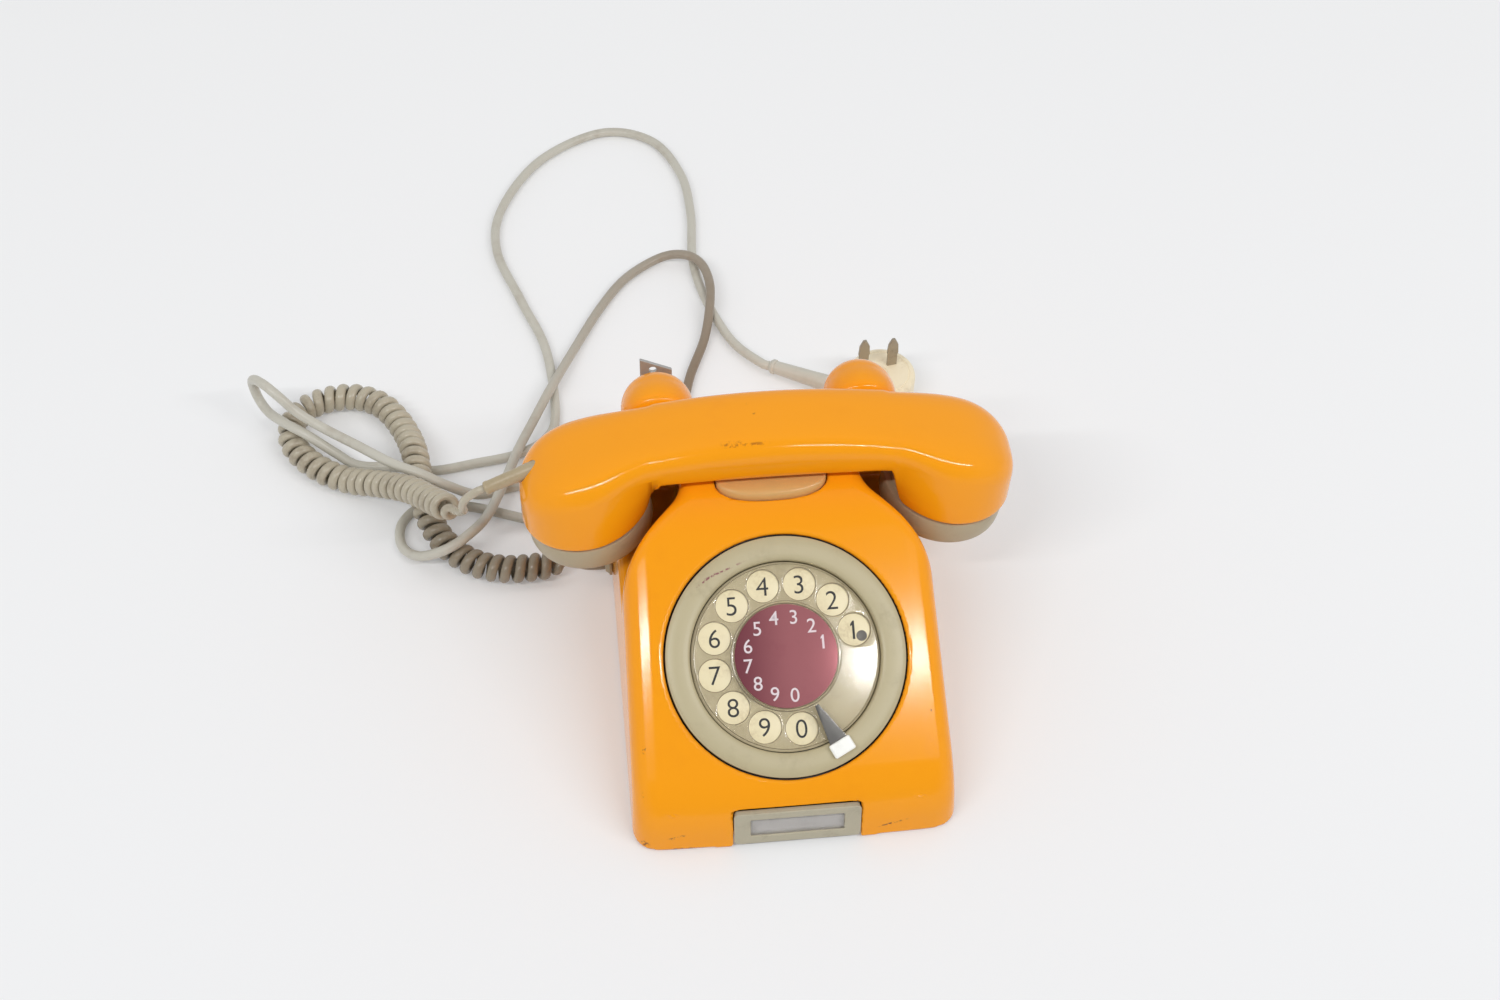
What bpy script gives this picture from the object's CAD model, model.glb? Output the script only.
import math

import bmesh
import bpy
import numpy as np
from mathutils import Matrix, Vector
from mathutils.kdtree import KDTree


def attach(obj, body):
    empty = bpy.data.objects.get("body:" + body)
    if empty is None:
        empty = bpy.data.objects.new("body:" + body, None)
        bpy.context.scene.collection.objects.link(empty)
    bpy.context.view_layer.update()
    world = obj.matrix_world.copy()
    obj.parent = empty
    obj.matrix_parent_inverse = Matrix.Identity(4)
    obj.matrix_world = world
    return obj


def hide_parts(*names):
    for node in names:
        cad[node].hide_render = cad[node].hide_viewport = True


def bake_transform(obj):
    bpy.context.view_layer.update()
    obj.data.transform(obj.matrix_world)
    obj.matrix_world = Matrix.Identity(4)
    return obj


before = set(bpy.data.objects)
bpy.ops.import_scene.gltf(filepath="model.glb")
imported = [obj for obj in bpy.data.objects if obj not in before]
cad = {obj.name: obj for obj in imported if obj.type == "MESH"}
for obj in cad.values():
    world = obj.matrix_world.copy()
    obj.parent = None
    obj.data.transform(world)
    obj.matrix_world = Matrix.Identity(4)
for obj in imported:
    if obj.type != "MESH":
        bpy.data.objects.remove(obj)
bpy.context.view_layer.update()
scene = bpy.context.scene
scene.view_settings.view_transform = "Standard"


# Camera: a 50 mm lens on a 36 mm wide frame, standing in front of the telephone and a little to its
# left. It looks down by 51 degrees, and it is tipped sideways by less than two degrees.
def new_piece(name, data, material=None):
    """Puts a mesh, a curve, a lamp or a camera into the scene as an object."""
    piece = bpy.data.objects.new(name, data)
    scene.collection.objects.link(piece)
    if material is not None:
        data.materials.clear()
        data.materials.append(material)
    return piece


def stance(place, right, top, back):
    return Matrix.Translation(place) @ Matrix((right, top, back)).transposed().to_4x4()


camera_place = Vector((-0.08437, -0.56230, 0.81936))
turn, dip, roll = (math.radians(a) for a in (7.240, 50.993, 1.681))
ahead = Vector((math.sin(turn) * math.cos(dip), math.cos(turn) * math.cos(dip), -math.sin(dip)))
level = Vector((math.cos(turn), -math.sin(turn), 0))
upright = level.cross(ahead)
camera_right = math.cos(roll) * level + math.sin(roll) * upright
camera_top = math.cos(roll) * upright - math.sin(roll) * level
photo_lens = bpy.data.cameras.new("photo_camera")
photo_lens.lens = 50
photo_lens.sensor_width = 36
photo_lens.clip_start = 0.05
camera = new_piece("photo_camera", photo_lens)
camera.matrix_world = stance(camera_place, camera_right, camera_top, -ahead)
scene.camera = camera


# Studio: a pale table top in a pale room that is dimmer where the camera stands, and two long lamps
# high in front, to the left and to the right. They draw the streaks on the rounded edges and the dial.
def long_lamp(name, start, end, glow, target=Vector((0, 0, 0.06)), deep=0.045):
    start, end = Vector(start), Vector(end)
    lamp = bpy.data.lights.new(name, "AREA")
    lamp.shape = "RECTANGLE"
    lamp.size, lamp.size_y = (end - start).length, deep
    lamp.energy = glow * math.pi * lamp.size * deep
    along = (end - start).normalized()
    middle = (start + end) / 2
    away = middle - target
    away = (away - away.dot(along) * along).normalized()
    new_piece(name, lamp).matrix_world = stance(middle, along, away.cross(along), away)


long_lamp("left_lamp", (-1.45, -0.70, 1.45), (-0.36, -0.74, 1.45), 66.0)
long_lamp("right_lamp", (0.233, -0.807, 1.45), (1.65, -0.745, 1.45), 64.0)


def wired(tree, kind, inputs, **settings):
    """The outputs of a new node; each of its inputs is a plain value or the socket that feeds it."""
    node = tree.nodes.new(kind)
    for name, value in settings.items():
        setattr(node, name, value)
    for label, source in inputs.items():
        if isinstance(source, bpy.types.NodeSocket):
            tree.links.new(source, node.inputs[label])
        else:
            node.inputs[label].default_value = source
    return node.outputs


def ramp(tree, value, start, stop, first=0.0, last=1.0, shape="SMOOTHSTEP"):
    """Goes from first to last while value goes from start to stop."""
    return wired(tree, "ShaderNodeMapRange", {
        "Value": value, "From Min": start, "From Max": stop, "To Min": first, "To Max": last},
        interpolation_type=shape)["Result"]


def maths(tree, operation, *sources):
    return wired(tree, "ShaderNodeMath", dict(enumerate(sources)), operation=operation)["Value"]


def mixed(tree, share, first, second):
    return wired(tree, "ShaderNodeMix", {"Factor": share, 6: first, 7: second}, data_type="RGBA")[2]


def spot_along(tree, axis):
    """How far a point lies along one axis of its object."""
    spot = wired(tree, "ShaderNodeTexCoord", {})["Object"]
    return wired(tree, "ShaderNodeSeparateXYZ", {"Vector": spot})[axis]


room = bpy.data.worlds.new("pale_room")
room.use_nodes = True
scene.world = room
room_tree = room.node_tree
room_light = room_tree.nodes["Background"]
room_light.inputs["Color"].default_value = (0.985, 0.99, 1.0, 1)
dim_side = Vector((0.04, -0.74, 0.67)).normalized()
room_way = wired(room_tree, "ShaderNodeTexCoord", {})["Generated"]
room_side = wired(room_tree, "ShaderNodeVectorMath", {0: room_way, 1: dim_side}, operation="DOT_PRODUCT")
room_glow = ramp(room_tree, room_side["Value"], 0.50, 0.94, 0.66, 0.26)
room_tree.links.new(room_glow, room_light.inputs["Strength"])

table_front, table_rear = (0.77, 0.775, 0.785, 1), (0.985, 0.988, 0.99, 1)
table_glow, table_glow_share, table_reach = (0.93, 0.935, 0.945, 1), 0.2, 6.0
table_paint = bpy.data.materials.new("table_paint")
table_paint.use_nodes = True
table_tree = table_paint.node_tree
table_shader = table_tree.nodes["Principled BSDF"]
table_shader.inputs["Roughness"].default_value = 0.85
table_shader.inputs["Specular IOR Level"].default_value = 0.1
table_back = ramp(table_tree, spot_along(table_tree, "Y"), -0.5, 0.5, shape="LINEAR")
table_pale = mixed(table_tree, table_back, table_front, table_rear)
table_tree.links.new(table_pale, table_shader.inputs["Base Color"])
table_rays = wired(table_tree, "ShaderNodeLightPath", {})
table_seen = maths(table_tree, "MAXIMUM", table_rays["Is Camera Ray"], table_rays["Is Glossy Ray"])
table_seen = maths(table_tree, "MAXIMUM", table_seen, table_rays["Is Transmission Ray"])
table_mix = wired(table_tree, "ShaderNodeMixShader", {
    "Fac": maths(table_tree, "MULTIPLY", table_seen, table_glow_share), 1: table_shader.outputs["BSDF"],
    2: wired(table_tree, "ShaderNodeEmission", {"Color": table_glow})["Emission"]})
table_tree.links.new(table_mix["Shader"], table_tree.nodes["Material Output"].inputs["Surface"])
table_mesh = bpy.data.meshes.new("table_top")
table_mesh.from_pydata([
    (-table_reach, -table_reach, 0), (table_reach, -table_reach, 0), (table_reach, table_reach, 0),
    (-table_reach, table_reach, 0)], [], [(0, 1, 2, 3)])
table_top = new_piece("table_top", table_mesh, table_paint)


# Curly handset cord: a grey plastic wire wound into 58 close curls, with straight leads at both ends.
# It leaves the sleeve at the handset's left end, lies in a loop and goes into the housing's left side.
def route_sums(route):
    return np.concatenate([[0], np.cumsum(np.linalg.norm(np.diff(route, axis=0), axis=1))])


def route_at(route, s):
    """Points of the smooth curve through the route's points, at distances s along its chords."""
    sums = route_sums(route)
    last = len(route) - 1
    i = np.clip(np.searchsorted(sums, s, side="right") - 1, 0, last - 1)
    t = ((s - sums[i]) / (sums[i + 1] - sums[i]))[:, None]
    a, b, c, d = route[np.maximum(i - 1, 0)], route[i], route[i + 1], route[np.minimum(i + 2, last)]
    return 0.5 * (2 * b + (c - a) * t + (2 * a - 5 * b + 4 * c - d) * t**2 + (3 * b - a - 3 * c + d) * t**3)


def ease(t):
    k = np.clip(t, 0, 1)
    return k * k * (3 - 2 * k)


def unit(vectors):
    return vectors / np.maximum(np.linalg.norm(vectors, axis=1), 1e-6)[:, None]


curly_route = 0.001 * np.array([
    [-128.8, 41, 89.9], [-132.5, 40.5, 88.6], [-138, 41, 83], [-140, 44, 74], [-140, 50, 64],
    [-145, 60, 52], [-157, 79, 38], [-169, 95, 28], [-186, 110, 16], [-200, 119, 9], [-212, 126, 8],
    [-223, 136, 8], [-230, 148, 8], [-230, 161, 8], [-223, 171, 8], [-211, 176, 8], [-198, 176, 8],
    [-186, 170, 8], [-178, 160, 8], [-172, 147, 9], [-168, 132, 13], [-166, 118, 13.5],
    [-164, 104, 13.5], [-161, 90, 12], [-155, 77, 9.5], [-146, 67, 8], [-135, 60, 8], [-123, 57, 8],
    [-111, 57, 8], [-101, 58, 8], [-92, 57, 9], [-85, 54, 10], [-80, 53.5, 10], [-76.3, 53.5, 10]])
curl_from, curl_to, curl_count = 5, 30, 58
soil_from, soil_full, soil_share = 22, 24, 0.6
wire_d, wire_wide, wire_mean_d, curl_d = 0.0038, 0.0050, 0.0043, 0.0140
points_per_curl, wire_sides, lead_step, half_mm = 24, 16, 0.0015, 0.0005
curly_sums = route_sums(curly_route)
curl_start, curl_stop = curly_sums[curl_from], curly_sums[curl_to]
curl_opening = 2 * (curl_stop - curl_start) / curl_count
curly_s = np.concatenate([
    np.linspace(0, curl_start, round(curl_start / lead_step), endpoint=False),
    np.linspace(curl_start, curl_stop, curl_count * points_per_curl + 1),
    np.linspace(curl_stop, curly_sums[-1], round((curly_sums[-1] - curl_stop) / lead_step) + 1)[1:]])
curly_mid = route_at(curly_route, curly_s)
curly_ahead = unit(route_at(curly_route, np.minimum(curly_s + half_mm, curly_sums[-1]))
                   - route_at(curly_route, np.maximum(curly_s - half_mm, 0)))
curly_right = unit(np.cross(curly_ahead, [0, 0, 1]))
curly_up = np.cross(curly_right, curly_ahead)
curl_share = ease((curly_s - curl_start) / curl_opening) * ease((curl_stop - curly_s) / curl_opening)
curl_turned = np.concatenate([[0], np.cumsum((curl_share[1:] + curl_share[:-1]) / 2 * np.diff(curly_s))])
curl_angle = (2 * np.pi * curl_count * curl_turned / curl_turned[-1])[:, None]
curl_radius = ((curl_d - wire_d) / 2 * curl_share)[:, None]
curly_path = curly_mid + curl_radius * (np.cos(curl_angle) * curly_up - np.sin(curl_angle) * curly_right)


def outward(mesh):
    """Merges doubled points and turns every face outwards."""
    work = bmesh.new()
    work.from_mesh(mesh)
    bmesh.ops.remove_doubles(work, verts=work.verts, dist=2e-6)
    bmesh.ops.recalc_face_normals(work, faces=work.faces)
    work.to_mesh(mesh)
    work.free()


def hoop_mesh(name, points, steps, capped=()):
    """A mesh over rows of points, each row a hoop of so many steps; the capped rows get a face."""
    rows = len(points) // steps
    faces = [(i * steps + k, i * steps + (k + 1) % steps, (i + 1) * steps + (k + 1) % steps,
              (i + 1) * steps + k) for i in range(rows - 1) for k in range(steps)]
    faces += [tuple(range(row % rows * steps, row % rows * steps + steps)) for row in capped]
    mesh = bpy.data.meshes.new(name)
    mesh.from_pydata(points, [], faces)
    outward(mesh)
    return mesh


def smoothed(mesh, crease):
    """Smooth shading that breaks at edges sharper than crease, in degrees."""
    mesh.shade_smooth()
    mesh.set_sharp_from_angle(angle=math.radians(crease))


def effect(name, inputs, outputs):
    """A shader node group with named inputs and outputs, and their sockets inside it."""
    group = bpy.data.node_groups.new(name, "ShaderNodeTree")
    for label, kind, value in inputs:
        group.interface.new_socket(label, in_out="INPUT", socket_type=kind).default_value = value
    for label, kind in outputs:
        group.interface.new_socket(label, in_out="OUTPUT", socket_type=kind)
    return group, group.nodes.new("NodeGroupInput").outputs, group.nodes.new("NodeGroupOutput").inputs


# Grime: two layers of noise, cloudy and speckled, that lay a dirt colour over a clean one.
grime, grime_in, grime_out = effect("grime", [
    ("Clean", "NodeSocketColor", (0.5, 0.5, 0.5, 1)), ("Dirt", "NodeSocketColor", (0.2, 0.15, 0.1, 1)),
    ("Scale", "NodeSocketFloat", 40.0), ("Amount", "NodeSocketFloat", 0.4)],
    [("Color", "NodeSocketColor"), ("Mask", "NodeSocketFloat"), ("Height", "NodeSocketFloat")])
grime_at = wired(grime, "ShaderNodeTexCoord", {})["Object"]
grime_cloud = wired(grime, "ShaderNodeTexNoise", {
    "Vector": grime_at, "Scale": grime_in["Scale"], "Detail": 5.0, "Roughness": 0.6})["Fac"]
grime_speck = wired(grime, "ShaderNodeTexNoise", {
    "Vector": grime_at, "Scale": maths(grime, "MULTIPLY", grime_in["Scale"], 9.0), "Detail": 3.0})["Fac"]
grime_both = maths(grime, "MULTIPLY", ramp(grime, grime_cloud, 0.44, 0.74),
                   ramp(grime, grime_speck, 0.30, 0.75, shape="LINEAR"))
grime_share = wired(grime, "ShaderNodeMath", {0: grime_both, 1: grime_in["Amount"]},
                    operation="MULTIPLY", use_clamp=True)["Value"]
for label, source in (
    ("Color", mixed(grime, grime_share, grime_in["Clean"], grime_in["Dirt"])),
    ("Mask", grime_share), ("Height", grime_speck),
):
    grime.links.new(source, grime_out[label])


def grimy(name, clean, dirt, scale, amount, roughness, dull=0.15, metallic=0.0, bump=0.0):
    """A material whose clean colour is dirtied, dulled and roughened by the grime effect."""
    material = bpy.data.materials.new(name)
    material.use_nodes = True
    tree = material.node_tree
    shader = tree.nodes["Principled BSDF"]
    shader.inputs["Metallic"].default_value = metallic
    dirty = wired(tree, "ShaderNodeGroup", {
        "Clean": (*clean, 1), "Dirt": (*dirt, 1), "Scale": scale, "Amount": amount}, node_tree=grime)
    gloss = ramp(tree, dirty["Mask"], 0, 1, roughness, roughness + dull, "LINEAR")
    tree.links.new(dirty["Color"], shader.inputs["Base Color"])
    tree.links.new(gloss, shader.inputs["Roughness"])
    if bump:
        grain = wired(tree, "ShaderNodeBump", {"Strength": 0.5, "Distance": bump, "Height": dirty["Height"]})
        tree.links.new(grain["Normal"], shader.inputs["Normal"])
    return material


def overlaid(material, mask, colour):
    """Lays a colour over a material's own where mask, a socket of its tree, is high."""
    tree = material.node_tree
    base = tree.nodes["Principled BSDF"].inputs["Base Color"]
    tree.links.new(mixed(tree, mask, base.links[0].from_socket, (*colour, 1)), base)


def soiled(material, colour):
    """Lays a colour over a material's own where its mesh's soil attribute is high."""
    soil = wired(material.node_tree, "ShaderNodeAttribute", {}, attribute_name="soil")
    overlaid(material, soil["Fac"], colour)


cord_grey = grimy("cord_grey", (0.50, 0.45, 0.345), (0.20, 0.145, 0.09), 38.0, 0.8, 0.27, bump=0.00008)
soiled(cord_grey, (0.17, 0.125, 0.08))
wire_ahead = unit(np.gradient(curly_path, axis=0))
wire_flat = unit(curly_ahead - (curly_ahead * wire_ahead).sum(1)[:, None] * wire_ahead)
wire_side = [curly_right[0]]
for ahead_here in wire_ahead[1:]:
    turned = wire_side[-1] - wire_side[-1] @ ahead_here * ahead_here
    wire_side.append(turned / np.linalg.norm(turned))
wire_side = np.array(wire_side)
wire_up = np.cross(wire_ahead, wire_side)
ring_angle = (2 * np.pi * np.arange(wire_sides) / wire_sides)[:, None]
wire_way = np.cos(ring_angle) * wire_side[:, None] + np.sin(ring_angle) * wire_up[:, None]
wire_stretch = ((wire_wide / wire_d - 1) * curl_share)[:, None] * (wire_way * wire_flat[:, None]).sum(2)
wire_rings = curly_path[:, None] + wire_d / 2 * (wire_way + wire_stretch[:, :, None] * wire_flat[:, None])
curly_mesh = hoop_mesh("curly_cord", wire_rings.reshape(-1, 3), wire_sides, capped=(0, -1))
smoothed(curly_mesh, 50)
soil_run = curly_sums[soil_full] - curly_sums[soil_from]
curly_soil = np.repeat(soil_share * ease((curly_s - curly_sums[soil_from]) / soil_run), wire_sides)
curly_mesh.attributes.new("soil", "FLOAT", "POINT").data.foreach_set("value", curly_soil)
handset_cord = new_piece("curly_cord", curly_mesh, cord_grey)
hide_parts("handset_cord")
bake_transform(handset_cord)


# Cord fittings: grey rubber sleeves turned on a lathe, one in the handset's end, one in the left side.
# Both are moulded round the wire and keep it from bending sharply where it goes in.
def lathe(name, profile, steps, place, material):
    """A closed turned piece: profile is (radius, height) pairs in millimetres, about the Z axis of place."""
    turns = [2 * math.pi * k / steps for k in range(steps)]
    mesh = hoop_mesh(name, [(0.001 * r * math.cos(a), 0.001 * r * math.sin(a), 0.001 * h)
                            for r, h in profile for a in turns], steps)
    mesh.transform(place)
    smoothed(mesh, 40)
    return new_piece(name, mesh, material)


def aimed(start, end):
    """A place at start whose Z axis points to end."""
    run = Vector(end) - Vector(start)
    return Matrix.Translation(start) @ run.to_track_quat("Z", "Y").to_matrix().to_4x4()


sleeve_grey = grimy("sleeve_grey", (0.43, 0.35, 0.22), (0.22, 0.15, 0.08), 55.0, 0.7, 0.34, bump=0.00006)
sleeve_start, sleeve_end = Vector((-0.099, 0.045, 0.1006)), Vector((-0.1285, 0.041, 0.0900))
sleeve_l = 1000 * (sleeve_end - sleeve_start).length
handset_sleeve = lathe("handset_sleeve", [
    (0, 0), (3.5, 0), (3.6, 0.2), (3.6, 10), (3.4, 14), (3.05, sleeve_l - 6), (2.95, sleeve_l - 2.2),
    (3.1, sleeve_l - 2), (3.15, sleeve_l - 1), (2.9, sleeve_l - 0.3), (2.4, sleeve_l), (0, sleeve_l)],
    40, aimed(sleeve_start, sleeve_end), sleeve_grey)
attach(handset_sleeve, "handset")
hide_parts("handset_relief")

side_sleeve = lathe("side_sleeve", [
    (0, -5), (3.5, -5), (3.5, 0), (4.6, 0), (4.8, 0.2), (4.8, 1.2), (4.5, 1.5), (4.0, 1.6), (2.9, 3.0),
    (2.7, 3.2), (0, 3.2)], 40, aimed((-0.073, 0.0535, 0.010), (-0.083, 0.0535, 0.010)), sleeve_grey)
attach(side_sleeve, "root")
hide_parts("cord_grommet")


# Line cord: one smooth grey plastic lead, 5 mm thick. It leaves the back of the housing, lies in
# loose loops to the left and behind the telephone, and ends in the plug.
line_route = 0.001 * np.array([
    [-34, 122.5, 9], [-34, 128, 9], [-33, 140, 6], [-30, 155, 3], [-24, 180, 3], [-14, 206, 4],
    [-9, 228, 8.5], [-8, 246, 8.5], [-12, 260, 8.5], [-21, 267, 8], [-34, 269, 4], [-53, 256, 3],
    [-68, 235, 3], [-83, 206, 4], [-98, 172, 8.6], [-108, 150, 8.6], [-116, 132, 8.8], [-123, 112, 9.5],
    [-132, 86, 15], [-141, 72, 18.5], [-152, 65, 17], [-166, 68, 9], [-175, 79, 4], [-175, 94, 3],
    [-164, 104, 3], [-142, 102, 3], [-115, 92, 3], [-98, 87, 3], [-85, 91, 3], [-80, 101, 3],
    [-86, 112, 3], [-103, 116, 3], [-122, 112, 3], [-137, 106, 7], [-151, 104, 18], [-164, 108, 24],
    [-178, 116, 24], [-196, 132, 21], [-213, 145, 21], [-225, 151, 27], [-233, 155, 35],
    [-240, 161, 38], [-246, 168, 35], [-248, 172, 27], [-246, 169, 19], [-241, 162, 16], [-232, 152, 18],
    [-221, 144, 17], [-208, 138, 9], [-197, 133, 4], [-178, 131, 3], [-159, 127, 3], [-138, 130, 3],
    [-117, 134, 3], [-102, 143, 3], [-96, 160, 3], [-99, 206, 3], [-111, 244, 3], [-123, 284, 3],
    [-119, 318, 3], [-96, 356, 3], [-60, 377, 3], [-31, 368, 3], [-16, 338, 3], [-13, 304, 3],
    [-15, 268, 3], [-11, 238, 3], [0, 204, 4], [14, 184.5, 5.6], [18.8, 181.6, 6]])
line_d, line_points, line_sides, soiled_to = 0.0050, 640, 16, 0.24


def tree_with(name, inputs):
    """A Geometry Nodes tree for a geometry, named inputs and a material, and its sockets inside."""
    tree = bpy.data.node_groups.new(name, "GeometryNodeTree")
    for label, kind in [("Geometry", "NodeSocketGeometry"), *inputs, ("Material", "NodeSocketMaterial")]:
        tree.interface.new_socket(label, in_out="INPUT", socket_type=kind)
    tree.interface.new_socket("Geometry", in_out="OUTPUT", socket_type="NodeSocketGeometry")
    return tree, tree.nodes.new("NodeGroupInput").outputs, tree.nodes.new("NodeGroupOutput").inputs


def painted(tree, geometry, tree_in, tree_out):
    """Ends a tree: its geometry is made real and gets the tree's material."""
    real = wired(tree, "GeometryNodeRealizeInstances", {"Geometry": geometry})["Geometry"]
    coated = wired(tree, "GeometryNodeSetMaterial", {"Geometry": real, "Material": tree_in["Material"]})
    tree.links.new(coated["Geometry"], tree_out["Geometry"])


def shown_mesh(piece):
    """A plain mesh of what a piece's curve or modifiers show."""
    return bpy.data.meshes.new_from_object(piece.evaluated_get(bpy.context.evaluated_depsgraph_get()))


def grown(name, start_mesh, tree, **values):
    """The plain mesh that a Geometry Nodes tree makes from start_mesh, with its inputs set by name."""
    carrier = new_piece(name + "_carrier", start_mesh)
    modifier = carrier.modifiers.new("grow", "NODES")
    modifier.node_group = tree
    for item in tree.interface.items_tree:
        if item.in_out == "INPUT" and item.name in values:
            modifier[item.identifier] = values[item.name]
    made = shown_mesh(carrier)
    bpy.data.objects.remove(carrier)
    return made


cord_tube, tube_in, tube_out = tree_with("cord_tube", [
    ("Radius", "NodeSocketFloat"), ("Sides", "NodeSocketInt")])
tube_line = wired(cord_tube, "GeometryNodeMeshToCurve", {"Mesh": tube_in["Geometry"]})["Curve"]
tube_ring = wired(cord_tube, "GeometryNodeCurvePrimitiveCircle", {
    "Resolution": tube_in["Sides"], "Radius": tube_in["Radius"]})["Curve"]
tube_skin = wired(cord_tube, "GeometryNodeCurveToMesh", {
    "Curve": tube_line, "Profile Curve": tube_ring, "Fill Caps": True})["Mesh"]
painted(cord_tube, tube_skin, tube_in, tube_out)

lead_grey = grimy("lead_grey", (0.58, 0.56, 0.485), (0.30, 0.23, 0.155), 26.0, 0.45, 0.34, bump=0.00005)
soiled(lead_grey, (0.19, 0.12, 0.065))
line_path = route_at(line_route, np.linspace(0, route_sums(line_route)[-1], line_points))
line_wire = bpy.data.meshes.new("line_lead_wire")
line_wire.from_pydata([tuple(p) for p in line_path], [(i, i + 1) for i in range(line_points - 1)], [])
line_mesh = grown("line_lead", line_wire, cord_tube, Radius=line_d / 2, Sides=line_sides, Material=lead_grey)
outward(line_mesh)
smoothed(line_mesh, 50)
line_tree = KDTree(line_points)
for i, point in enumerate(line_path):
    line_tree.insert(point, i)
line_tree.balance()
line_mesh.attributes.new("soil", "FLOAT", "POINT").data.foreach_set("value", [
    max(0, 1 - line_tree.find(v.co)[1] / (soiled_to * line_points)) for v in line_mesh.vertices])
line_cord = new_piece("line_lead", line_mesh)
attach(line_cord, "root")
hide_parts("line_cord")


# Line cord fittings: a rubber gland in the back wall, and the plug's own tapered sleeve with a collar.
# The plug is a round cream moulding that lies on its back with two pointed blades standing up.
gland = lathe("rear_gland", [
    (0, -6), (4, -6), (4, 0), (5, 0), (5.2, 0.2), (5.2, 1.7), (4.9, 2.1), (4.4, 2.5), (4.2, 6), (4.35, 6.2),
    (4.3, 7.6), (4.0, 7.8), (3.8, 11), (3.95, 11.2), (3.9, 12.6), (3.6, 12.8), (3.3, 19), (3.1, 21.7),
    (2.8, 22), (0, 22)], 48, aimed((-0.034, 0.1005, 0.009), (-0.034, 0.150, 0.009)), sleeve_grey)
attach(gland, "root")
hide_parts("line_gland")

taper_start, taper_end = Vector((0.059, 0.1565, 0.0095)), Vector((0.019, 0.1815, 0.0060))
taper_l = 1000 * (taper_end - taper_start).length
plug_sleeve = lathe("plug_sleeve", [
    (0, 0), (5.2, 0), (4.9, 8), (4.1, 26), (3.5, taper_l - 3.4), (3.5, taper_l - 3.1), (3.9, taper_l - 2.9),
    (4.0, taper_l - 2.6), (4.0, taper_l - 1.3), (3.8, taper_l - 1), (3.2, taper_l - 0.2),
    (3.0, taper_l), (0, taper_l)], 48, aimed(taper_start, taper_end), lead_grey)
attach(plug_sleeve, "root")
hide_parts("plug_relief")

plug_cream = grimy("plug_cream", (0.92, 0.82, 0.60), (0.45, 0.34, 0.18), 60.0, 0.75, 0.38, bump=0.00005)
plug_place = Matrix.Translation((0.075, 0.161, 0))
plug = lathe("plug_moulding", [
    (0, 0.1), (13.4, 0.1), (14.9, 0.4), (16.2, 1.2), (17.1, 2.5), (17.5, 4.1), (17.5, 8.6), (17.1, 8.8),
    (17.1, 9.4), (17.5, 9.6), (17.5, 15.6), (17.3, 16.7), (16.7, 17.5), (15.8, 17.9), (14.6, 18.0),
    (14.3, 17.7), (13.9, 17.7), (13.6, 18.0), (3.0, 18.0), (2.8, 17.6), (0, 17.6)],
    96, plug_place, plug_cream)
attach(plug, "root")
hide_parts("plug_body")


def level_shading(mesh):
    """Smooth shading in which broad faces stay level: every face weighs in by its area."""
    same_side = 0.5
    mesh.shade_smooth()
    near = [[] for _ in mesh.vertices]
    for face in mesh.polygons:
        for v in face.vertices:
            near[v].append((face.normal.copy(), face.area))
    corners = []
    for face in mesh.polygons:
        facing = face.normal.copy()
        for v in face.vertices:
            pulls = [area * normal for normal, area in near[v] if normal.dot(facing) > same_side]
            corners.append(sum(pulls, Vector()).normalized())
    mesh.normals_split_custom_set(corners)


def plate(name, loops, place, material, low, high, edge):
    """A flat plate from low to high with rounded edges, cut from outlines; all sizes in millimetres."""
    outline = bpy.data.curves.new(name, "CURVE")
    outline.dimensions = "2D"
    outline.fill_mode = "BOTH"
    outline.extrude = 0.001 * ((high - low) / 2 - edge)
    outline.bevel_depth = 0.001 * edge
    outline.bevel_resolution = 2
    outline.offset = -0.001 * edge
    for loop in loops:
        spline = outline.splines.new("POLY")
        spline.points.add(len(loop) - 1)
        for point, (u, v) in zip(spline.points, loop):
            point.co = (0.001 * u, 0.001 * v, 0, 1)
        spline.use_cyclic_u = True
    flat = new_piece(name + "_outline", outline)
    mesh = shown_mesh(flat)
    bpy.data.objects.remove(flat)
    outward(mesh)
    mesh.transform(place @ Matrix.Translation((0, 0, 0.0005 * (low + high))))
    level_shading(mesh)
    return new_piece(name, mesh, material)


def pooled(name, pieces):
    """One mesh of several pieces, which are removed."""
    work = bmesh.new()
    for piece in pieces:
        work.from_mesh(piece.data)
        bpy.data.objects.remove(piece)
    mesh = bpy.data.meshes.new(name)
    work.to_mesh(mesh)
    work.free()
    return mesh


def merged(name, pieces, material):
    mesh = pooled(name, pieces)
    level_shading(mesh)
    return new_piece(name, mesh, material)


blade_metal = grimy("blade_metal", (0.42, 0.37, 0.29), (0.16, 0.11, 0.07), 120.0, 0.8, 0.42, metallic=0.75)
blade_outline = [(-2.6, 0), (2.6, 0), (2.6, 8), (3, 9), (2.6, 15), (0.8, 19), (-0.8, 19), (-2.6, 15),
                 (-3, 9), (-2.6, 8)]
blade_x, blade_y, blade_z, blade_apart, blade_slant = 0.073, 0.167, 0.018, 0.015, math.radians(8)
blade_turn = Matrix.Rotation(blade_slant, 4, "Z") @ Matrix.Rotation(math.radians(90), 4, "X")
blade_places = [Matrix.Translation((blade_x + side * blade_apart, blade_y, blade_z)) @ blade_turn
                for side in (-0.5, 0.5)]
blades = merged("plug_blade_pair", [
    plate("one_blade", [blade_outline], place, blade_metal, low=0, high=1.6, edge=0.25)
    for place in blade_places], blade_metal)
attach(blades, "root")
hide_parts("plug_blades")


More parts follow.
